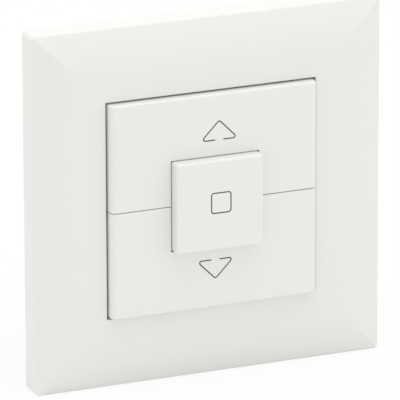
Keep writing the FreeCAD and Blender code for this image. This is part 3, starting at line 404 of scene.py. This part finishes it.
def metal_group():
    """Colour = given colour mixed with the tarnish by a ramp of slow noise, roughness = given roughness +
    streaks' swing, and height = streaks."""
    group, given, out = new_group("worked_metal", [
        ("Color", "NodeSocketColor", WHITE), ("Tarnish", "NodeSocketColor", WHITE),
        ("Roughness", "NodeSocketFloat", 0.3), ("Streaks per mm", "NodeSocketFloat", 6.0),
    ])
    place = group.nodes.new("ShaderNodeTexCoord").outputs["Object"]
    squeezed = group.nodes.new("ShaderNodeMapping")
    squeezed.inputs["Scale"].default_value = STREAK_SQUEEZE
    feed(group, squeezed.inputs["Vector"], place)
    streaks_per_metre = math_node(group, "MULTIPLY", given.outputs["Streaks per mm"], 1 / MM)
    streak = noise(group, squeezed.outputs["Vector"], streaks_per_metre, STREAK_DETAIL)
    ramp = group.nodes.new("ShaderNodeMapRange")
    ramp.inputs["From Min"].default_value = TARNISH_FROM
    ramp.inputs["From Max"].default_value = TARNISH_TO
    feed(group, ramp.inputs["Value"], noise(group, place, TARNISH_PER_METRE, TARNISH_DETAIL))
    mix = group.nodes.new("ShaderNodeMix")
    mix.data_type = "RGBA"
    feed(group, mix.inputs["Factor"], math_node(group, "MULTIPLY", ramp.outputs["Result"], TARNISH_MOST))
    feed(group, mix.inputs["A"], given.outputs["Color"])
    feed(group, mix.inputs["B"], given.outputs["Tarnish"])
    rough = varied(group, given.outputs["Roughness"], streak, STREAK_ROUGHNESS)
    feed(group, out.inputs["Color"], mix.outputs["Result"])
    feed(group, out.inputs["Roughness"], rough)
    feed(group, out.inputs["Height"], streak)
    return group


metal = metal_group()
print("effect group:", metal.name, "nodes:", len(metal.nodes))

# %% [markdown]
# ## Finishes
# The plate, the keys and the button are each moulded on their own, so their whites differ by a hair. Behind
# them lie grey and dark housings, natural plastic slides, zinc-plated steel, brass and silver. Each is a
# Principled material whose colour, roughness and bump come from one of the two groups. The values stand in
# a table, a row for each material slot of the record, so that they can be compared at a glance.

# %% A finish
def finish_material(name, group, values, bump, bump_mm, metallic, ior):
    """A Principled material fed by one effect group. The bump is the group's height times bump_mm, and
    its strength says how much of that shows."""
    material = bpy.data.materials.new(name)
    material.use_nodes = True
    nodes, links = material.node_tree.nodes, material.node_tree.links
    principled = nodes["Principled BSDF"]
    principled.inputs["Metallic"].default_value = metallic
    principled.inputs["IOR"].default_value = ior
    effect = nodes.new("ShaderNodeGroup")
    effect.node_tree = group
    for label, value in values.items():
        effect.inputs[label].default_value = (*value, 1) if isinstance(value, tuple) else value
    links.new(effect.outputs["Color"], principled.inputs["Base Color"])
    links.new(effect.outputs["Roughness"], principled.inputs["Roughness"])
    height = nodes.new("ShaderNodeBump")
    height.inputs["Strength"].default_value = bump
    height.inputs["Distance"].default_value = bump_mm * MM
    links.new(effect.outputs["Height"], height.inputs["Height"])
    links.new(height.outputs["Normal"], principled.inputs["Normal"])
    return material


finishes = {}
slot_of = {entry["node"]: entry["material_slot"] for entry in frame["record"]["subparts"]}
print("slots of the packed parts:", sorted(set(slot_of.values())))

# %% Plastics
COVER_IOR, PLAIN_IOR = 1.49, 1.5
PLATE_WHITE = (0.794, 0.801, 0.764)
KEY_WHITE = (0.803, 0.798, 0.768)
BUTTON_WHITE = (0.803, 0.796, 0.765)
CHASSIS_GREY = (0.56, 0.56, 0.54)
HOUSING_GREY = (0.11, 0.115, 0.12)
NATURAL_CREAM = (0.66, 0.63, 0.54)
PRINT_GREY = (0.085, 0.085, 0.09)
PLASTICS = [
    # slot, material, colour, cloud, roughness, grain per mm, bump's strength and height in mm, IOR
    ("plate_plastic", "plate_white", PLATE_WHITE, 0.012, 0.42, 8.0, 0.08, 0.01, COVER_IOR),
    ("key_plastic", "key_white", KEY_WHITE, 0.012, 0.40, 8.0, 0.08, 0.01, COVER_IOR),
    ("button_plastic", "button_white", BUTTON_WHITE, 0.012, 0.40, 8.0, 0.08, 0.01, COVER_IOR),
    ("chassis_plastic", "chassis_grey", CHASSIS_GREY, 0.05, 0.50, 8.0, 0.20, 0.01, PLAIN_IOR),
    ("housing_plastic", "housing_grey", HOUSING_GREY, 0.12, 0.52, 5.0, 0.30, 0.02, PLAIN_IOR),
    ("mechanism_plastic", "natural_plastic", NATURAL_CREAM, 0.06, 0.36, 8.0, 0.10, 0.01, PLAIN_IOR),
    ("icon_print", "icon_grey", PRINT_GREY, 0.10, 0.55, 8.0, 0.10, 0.01, PLAIN_IOR),
]
for slot, name, colour, cloud, roughness, grain, bump, bump_mm, ior in PLASTICS:
    values = {"Color": colour, "Cloud": cloud, "Roughness": roughness, "Grain per mm": grain}
    finishes[slot] = finish_material(name, moulded, values, bump, bump_mm, metallic=0.0, ior=ior)
print("plastics:", [row[1] for row in PLASTICS])

# %% Metals
METAL_BUMP_MM = 0.01
METALS = [
    # slot, material, colour, tarnish, roughness, streaks per mm, bump's strength
    ("frame_steel", "zinc_plated_sheet", (0.60, 0.61, 0.62), (0.50, 0.51, 0.53), 0.38, 5.0, 0.15),
    ("spring_steel", "spring_wire", (0.50, 0.50, 0.51), (0.40, 0.40, 0.42), 0.30, 12.0, 0.10),
    ("contact_brass", "contact_brass", (0.72, 0.53, 0.25), (0.58, 0.42, 0.20), 0.32, 7.0, 0.15),
    ("contact_silver", "contact_silver", (0.82, 0.82, 0.80), (0.70, 0.69, 0.66), 0.25, 10.0, 0.08),
    ("screw_steel", "plated_screw", (0.62, 0.62, 0.63), (0.52, 0.53, 0.55), 0.28, 9.0, 0.10),
]
for slot, name, colour, tarnish, roughness, streaks, bump in METALS:
    values = {"Color": colour, "Tarnish": tarnish, "Roughness": roughness, "Streaks per mm": streaks}
    finishes[slot] = finish_material(name, metal, values, bump, METAL_BUMP_MM, metallic=1.0, ior=PLAIN_IOR)
print("metals:", [row[1] for row in METALS])

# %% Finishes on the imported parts
for node, piece in frame["nodes"].items():
    piece.data.materials.clear()
    piece.data.materials.append(finishes[slot_of[node]])
print("finished parts:", len(slot_of), "materials:", len(finishes))

# %% [markdown]
# ## Surfaces from grids
# Every piece that this script adds is one or more grids of points. Along its second direction a grid
# closes, as round a wire, and along its first it either closes too, as a ring does, or ends in two caps.
# The faces could be made one by one with bmesh, but numpy works out all of their corners at once.

# %% Faces of a grid
def grid_faces(nu, nv, closed_u, first):
    """One quad between each four neighbours of a grid of nu by nv points that closes along v. The point at
    u, v has the number first + u * nv + v. Where u stays open, both ends get a cap."""
    u = np.arange(nu if closed_u else nu - 1)
    uu, vv = (a.ravel() for a in np.meshgrid(u, np.arange(nv), indexing="ij"))
    un, vn = (uu + 1) % nu, (vv + 1) % nv
    quads = first + np.stack([uu * nv + vv, un * nv + vv, un * nv + vn, uu * nv + vn], axis=1)
    faces = [tuple(quad) for quad in quads.tolist()]
    if not closed_u:
        faces.append(tuple(range(first, first + nv))[::-1])
        faces.append(tuple(range(first + (nu - 1) * nv, first + nu * nv)))
    return faces


print("faces of an open tube of 5 rings with 4 points:", len(grid_faces(5, 4, False, 0)))


# %% A piece from grids
def turn_outwards(mesh):
    """Turns each face so that its normal points out of the closed mesh."""
    bm = bmesh.new()
    bm.from_mesh(mesh)
    bmesh.ops.recalc_face_normals(bm, faces=bm.faces)
    bm.to_mesh(mesh)
    bm.free()


def surface(name, grids, body, material, closed_u=False):
    """A piece at the origin: the points of all its grids in one mesh, with their faces numbered on."""
    faces, first = [], 0
    for grid in grids:
        faces += grid_faces(*grid.shape[:2], closed_u, first)
        first += grid.shape[0] * grid.shape[1]
    points = np.vstack([grid.reshape(-1, 3) for grid in grids])
    mesh = bpy.data.meshes.new(name)
    mesh.from_pydata([tuple(point) for point in points.tolist()], [], faces)
    mesh.validate()
    mesh.update()
    piece = bpy.data.objects.new(name, mesh)
    bpy.context.scene.collection.objects.link(piece)
    turn_outwards(mesh)
    mesh.materials.append(finishes[material])
    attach(piece, body)
    return piece


# %% [markdown]
# ## Icons
# The two triangles and the square are printed as thin grey lines, about a third of a millimetre wide. Each
# could be a decal image, but a picture would blur up close, so the line is a real thin film: a flat bead
# with rounded shoulders, carried along the outline of the icon. The triangles are open in the middle of
# their base.

# %% Outlines with rounded corners
ARC_STEPS = 8
print("points on each rounded corner:", ARC_STEPS + 1)


def unit_rows(vectors):
    """Each row divided by its own length."""
    return vectors / np.linalg.norm(vectors, axis=1, keepdims=True)


def rounded_outline(corners, radius):
    """Path through the corners of a closed polygon, each corner replaced by an arc of the radius.
    The arc's centre lies on the corner's bisector, at radius / sin(half the inner angle)."""
    corners = np.asarray(corners, float)
    to_before = unit_rows(np.roll(corners, 1, axis=0) - corners)
    to_after = unit_rows(np.roll(corners, -1, axis=0) - corners)
    bisector = unit_rows(to_before + to_after)
    half = np.arccos(np.clip((to_before * to_after).sum(1), -1, 1)) / 2
    centre = corners + bisector * (radius / np.sin(half))[:, None]
    start = corners + to_before * (radius / np.tan(half))[:, None]
    end = corners + to_after * (radius / np.tan(half))[:, None]
    angle_a = np.arctan2(*(start - centre).T[::-1])
    angle_b = np.arctan2(*(end - centre).T[::-1])
    sweep = (angle_b - angle_a + math.pi) % (2 * math.pi) - math.pi
    angle = angle_a[:, None] + sweep[:, None] * np.linspace(0, 1, ARC_STEPS + 1)
    arc = centre[:, None, :] + radius * np.stack([np.cos(angle), np.sin(angle)], axis=-1)
    return arc.reshape(-1, 2)


# %% The outlines of the icons
TRIANGLE_HALF = 4.45 * MM
TRIANGLE_BASE = 14.1 * MM
TRIANGLE_APEX = 18.6 * MM
TRIANGLE_RADIUS = 0.45 * MM
BASE_GAP = 2.0 * MM
SQUARE_HALF = 2.35 * MM
SQUARE_RADIUS = 0.6 * MM


def triangle_path(sign):
    """Base towards the button and apex away from it, up for sign 1 and down for -1. The path starts at
    one side of the gap in the base and ends at the other."""
    base, side = sign * TRIANGLE_BASE, sign * BASE_GAP / 2
    corners = [(-TRIANGLE_HALF * sign, base), (0, sign * TRIANGLE_APEX), (TRIANGLE_HALF * sign, base)]
    return np.vstack([(-side, base), rounded_outline(corners, TRIANGLE_RADIUS), (side, base)])


def square_path():
    """Plus and minus half the side both ways, closed."""
    corners = [(x * SQUARE_HALF, z * SQUARE_HALF) for x, z in ((-1, -1), (1, -1), (1, 1), (-1, 1))]
    return rounded_outline(corners, SQUARE_RADIUS)


outlines = {"up_icon": triangle_path(1), "down_icon": triangle_path(-1), "stop_icon": square_path()}
print("points on the outlines:", {name: len(path) for name, path in outlines.items()})

# %% Lines as thin films
LINE_WIDTH = 0.30 * MM
LINE_HEIGHT = 0.02 * MM
FILM_ACROSS = np.array([-0.5, -0.36, 0.36, 0.5, 0.5, -0.5]) * LINE_WIDTH
FILM_HEIGHTS = np.array([0.0, 1.0, 1.0, 0.0, -0.6, -0.6]) * LINE_HEIGHT
LEAST_COSINE = 0.5
print("width and height of a line in mm:", round(LINE_WIDTH / MM, 2), round(LINE_HEIGHT / MM, 2))


def line_film(name, path, closed, face_out, body, shift):
    """Six points round the section: two at the edges on the face, two on the flat top between them, and two
    sunk under the edges. Across the path they lie at their distance / cos(half the bend), so that the line
    keeps its width in a bend."""
    path = path + shift
    if closed:
        ahead, behind = np.roll(path, -1, axis=0), np.roll(path, 1, axis=0)
    else:
        ahead = np.vstack([path[1:], 2 * path[-1] - path[-2]])
        behind = np.vstack([2 * path[0] - path[1], path[:-1]])
    forward = unit_rows(ahead - path)
    along = unit_rows(forward + unit_rows(path - behind))
    across = np.stack([-along[:, 1], along[:, 0]], axis=1)
    stretch = 1 / np.maximum((along * forward).sum(1), LEAST_COSINE)
    flat = path[:, None, :] + across[:, None, :] * (FILM_ACROSS[None, :] * stretch[:, None])[..., None]
    depth = np.broadcast_to(-(face_out + FILM_HEIGHTS), flat.shape[:2])
    points = np.stack([flat[..., 0], depth, flat[..., 1]], axis=-1)
    return surface(name, [points], body, "icon_print", closed_u=closed)


# %% The three icons
UP_SHIFT = (1.0 * MM, 0.25 * MM)
DOWN_SHIFT = (0.0, 0.35 * MM)
STOP_SHIFT = (0.2 * MM, 0.55 * MM)

icons = [
    line_film("up_icon", outlines["up_icon"], False, KEY_FRONT, "up_rocker", UP_SHIFT),
    line_film("down_icon", outlines["down_icon"], False, KEY_FRONT, "down_rocker", DOWN_SHIFT),
    line_film("stop_icon", outlines["stop_icon"], True, BUTTON_FRONT, "stop", STOP_SHIFT),
]
print("icons:", [(icon.name, len(icon.data.polygons)) for icon in icons])

# %% [markdown]
# ## Springs
# Four coil springs bring the keys, the button and the latch slide back. A spring could be a curve with a
# round bevel, but here it is a mesh: a round wire carried along a helix whose first and last turns lie flat,
# as they do on a real compression spring.

# %% Round wire along a helix
DEAD_TURNS = 0.8
STEPS_PER_TURN = 36
WIRE_SIDES = 10


def helix_wire(reach, length, wire, turns):
    """A wire round the y axis, its middle at the origin. The angle t runs evenly. The height climbs only
    between the dead turns, as the mean of an even ramp c and the smooth ramp 3 c^2 - 2 c^3. The section is
    a circle in the plane of the outward and the cross direction."""
    t = np.linspace(0, 2 * math.pi * turns, int(turns * STEPS_PER_TURN) + 1)
    climb = np.clip((t / (2 * math.pi) - DEAD_TURNS) / (turns - 2 * DEAD_TURNS), 0, 1)
    climb = 0.5 * climb + 0.5 * climb * climb * (3 - 2 * climb)
    height = (climb - 0.5) * (length - 2 * wire)
    outward = np.stack([np.cos(t), np.zeros_like(t), np.sin(t)], axis=1)
    centre = outward * (reach - wire) + np.stack([0 * t, height, 0 * t], axis=1)
    cross = np.cross(unit_rows(np.gradient(centre, axis=0)), outward)
    phi = np.linspace(0, 2 * math.pi, WIRE_SIDES, endpoint=False)
    ring = outward[:, None] * np.cos(phi)[None, :, None] + cross[:, None] * np.sin(phi)[None, :, None]
    return centre[:, None] + wire * ring


print("points in one turn of a spring:", STEPS_PER_TURN * WIRE_SIDES)


# %% A spring for a packed one
def coil_spring(node, reach, wire, turns, axis):
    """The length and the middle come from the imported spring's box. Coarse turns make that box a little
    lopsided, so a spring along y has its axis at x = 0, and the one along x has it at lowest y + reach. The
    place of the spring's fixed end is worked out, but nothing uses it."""
    low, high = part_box(node)
    lie = "xyz".index(axis)
    middle = [(a + b) / 2 for a, b in zip(low, high)]
    if axis == "y":
        middle[0] = 0.0
    else:
        middle[1] = low.y + reach
    length = high[lie] - low[lie]
    points = helix_wire(reach, length, wire, turns)
    if axis == "x":  # a quarter turn round z: (x, y, z) becomes (y, -x, z)
        points = points[..., [1, 0, 2]] * (1, -1, 1)
    points = points + np.asarray(middle)
    spring = surface("fine_" + node, [points], "base", "spring_steel")
    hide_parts(node)
    anchor = list(middle)
    anchor[lie] = low[lie] if axis == "x" else high[lie]
    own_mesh(spring)
    return spring


# %% The four springs
SPRINGS = [
    # node, outer radius in mm, wire radius in mm, turns, joint, axis
    ("up_spring", 2.65, 0.25, 4, "up_plunger_slide", "y"),
    ("down_spring", 2.65, 0.25, 4, "down_plunger_slide", "y"),
    ("stop_spring", 4.5, 0.3, 5, "stop_button_slide", "y"),
    ("latch_spring", 0.9, 0.15, 5, "latch_slide", "x"),
]
for node, reach, wire, turns, joint, axis in SPRINGS:
    spring = coil_spring(node, reach * MM, wire * MM, turns, axis)
    print(spring.name, "faces:", len(spring.data.polygons))

# %% [markdown]
# ## Terminal screws
# Three plated screws clamp the wires. Their heads show in the holes at the housing's sides, so they get
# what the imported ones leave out: a slot for the driver, a rounded rim and a thread. A boolean could cut the
# slot out of a round head, but leaves long thin faces. Here the head is a row of sections side by side
# across the slot, which keeps the slot's walls straight, and the shank is a ring whose radius follows the
# thread.

# %% Slotted head
HEAD_REACH = 2.3 * MM
HEAD_LENGTH = 1.6 * MM
HEAD_RIM = 0.3 * MM
SLOT_WIDTH = 0.7 * MM
SLOT_DEPTH = 0.8 * MM
HEAD_SECTIONS, SECTION_POINTS = 49, 41
HEAD_EDGE = 0.985
SLOT_CLEARING, SLOT_FLOOR, SLOT_LIMIT = 1.1, 0.98, 0.99


def slotted_head():
    """Sections at x across the slot, x = radius * sine of an even angle, with two more at each wall of the
    slot. Each is a closed loop: y runs out and back inside the circle of the head. The way out is the top,
    at the head's length less the rim's rounding, or the slot's floor inside the slot."""
    quarter, slot_half = math.pi / 2, SLOT_WIDTH / 2
    x = HEAD_REACH * np.sin(np.linspace(-quarter, quarter, HEAD_SECTIONS) * HEAD_EDGE)
    walls = slot_half * np.array([-1, -SLOT_FLOOR, SLOT_FLOOR, 1])
    x = np.sort(np.concatenate([x[np.abs(x) > slot_half * SLOT_CLEARING], walls]))[:, None]
    y = np.sin(np.linspace(-quarter, quarter, SECTION_POINTS))[None, :] * np.sqrt(HEAD_REACH ** 2 - x ** 2)
    x = np.broadcast_to(x, y.shape)
    into_rim = np.clip(np.sqrt(x ** 2 + y ** 2) - (HEAD_REACH - HEAD_RIM), 0, HEAD_RIM)
    top = HEAD_LENGTH - HEAD_RIM + np.sqrt(np.maximum(HEAD_RIM ** 2 - into_rim ** 2, 0))
    top = np.where(np.abs(x) < slot_half * SLOT_LIMIT, np.minimum(top, HEAD_LENGTH - SLOT_DEPTH), top)
    way_out = np.stack([x, y, top], axis=-1)
    way_back = np.stack([x, y, np.zeros_like(y)], axis=-1)[:, ::-1]
    return np.concatenate([way_out, way_back], axis=1)


print("sections of a head and points in each:", slotted_head().shape[:2])

# %% Threaded shank
SHANK_REACH = 1.5 * MM
SHANK_LENGTH = 1.7 * MM
SHANK_OVERLAP = 0.3 * MM
THREAD_PITCH = 0.5 * MM
THREAD_DEPTH = 0.22 * MM
RINGS_PER_PITCH, SHANK_SIDES = 8, 48


def threaded_shank():
    """Rings from the tip to inside the head. The radius falls from the crest by the thread's depth times a
    triangle wave of the height over the pitch less the share of a turn. The tip tapers over one pitch."""
    rings = int((SHANK_LENGTH + SHANK_OVERLAP) / THREAD_PITCH * RINGS_PER_PITCH) + 1
    height = np.linspace(-SHANK_LENGTH, SHANK_OVERLAP, rings)[:, None]
    turn = np.linspace(0, 1, SHANK_SIDES, endpoint=False)[None, :]
    wave = np.abs(2 * ((height / THREAD_PITCH - turn) % 1) - 1)
    tip = np.clip((height + SHANK_LENGTH) / THREAD_PITCH, 0, 1)
    reach = SHANK_REACH - THREAD_DEPTH * np.maximum(wave, 1 - tip)
    angle = 2 * math.pi * turn
    height = np.broadcast_to(height, reach.shape)
    return np.stack([reach * np.cos(angle), reach * np.sin(angle), height], axis=-1)


print("rings of a shank and points in each:", threaded_shank().shape[:2])


# %% Screws in their places
def screw_grids(place, sign, turned):
    """Head and shank, turned round their axis, with the head's underside at the place and the head towards
    sign * x: (x, y, z) = place + (sign * up, sign * (a cos - b sin), a sin + b cos)."""
    grids = []
    cos, sin = math.cos(turned), math.sin(turned)
    for points in (slotted_head(), threaded_shank()):
        a, b, up = points[..., 0], points[..., 1], points[..., 2]
        grids.append(np.stack([place[0] + sign * up, place[1] + sign * (a * cos - b * sin),
                               place[2] + a * sin + b * cos], axis=-1))
    return grids


screws_low, screws_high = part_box("terminal_screws")
SCREW_X = screws_high.x - HEAD_LENGTH
SCREW_Y = (screws_low.y + screws_high.y) / 2
SCREW_Z = screws_high.z - HEAD_REACH
SCREWS = [
    # side, z, turn of the slot in radians
    (-1, 0, 0.5),
    (1, SCREW_Z, 1.2),
    (1, -SCREW_Z, -0.3),
]
grids = []
for side, z, turned in SCREWS:
    grids += screw_grids((side * SCREW_X, SCREW_Y, z), side, turned)
slotted_screws = surface("slotted_screws", grids, "base", "screw_steel")
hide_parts("terminal_screws")
print("screws at mm:", [round(v / MM, 2) for v in (SCREW_X, SCREW_Y, SCREW_Z)])
print("faces of the screws:", len(slotted_screws.data.polygons))

# %% [markdown]
# ## Size
# The box of the imported parts from before the first piece and the box of everything shown now are set side
# by side, and how far each of their corners has moved is printed in millimetres.

# %% Size of the finished model
visual_box = [list(corner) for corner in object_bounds()]
growth = [[round((b - a) / MM, 3) for a, b in zip(*corners)] for corners in zip(cad_box, visual_box)]
print("grows by mm:", growth)
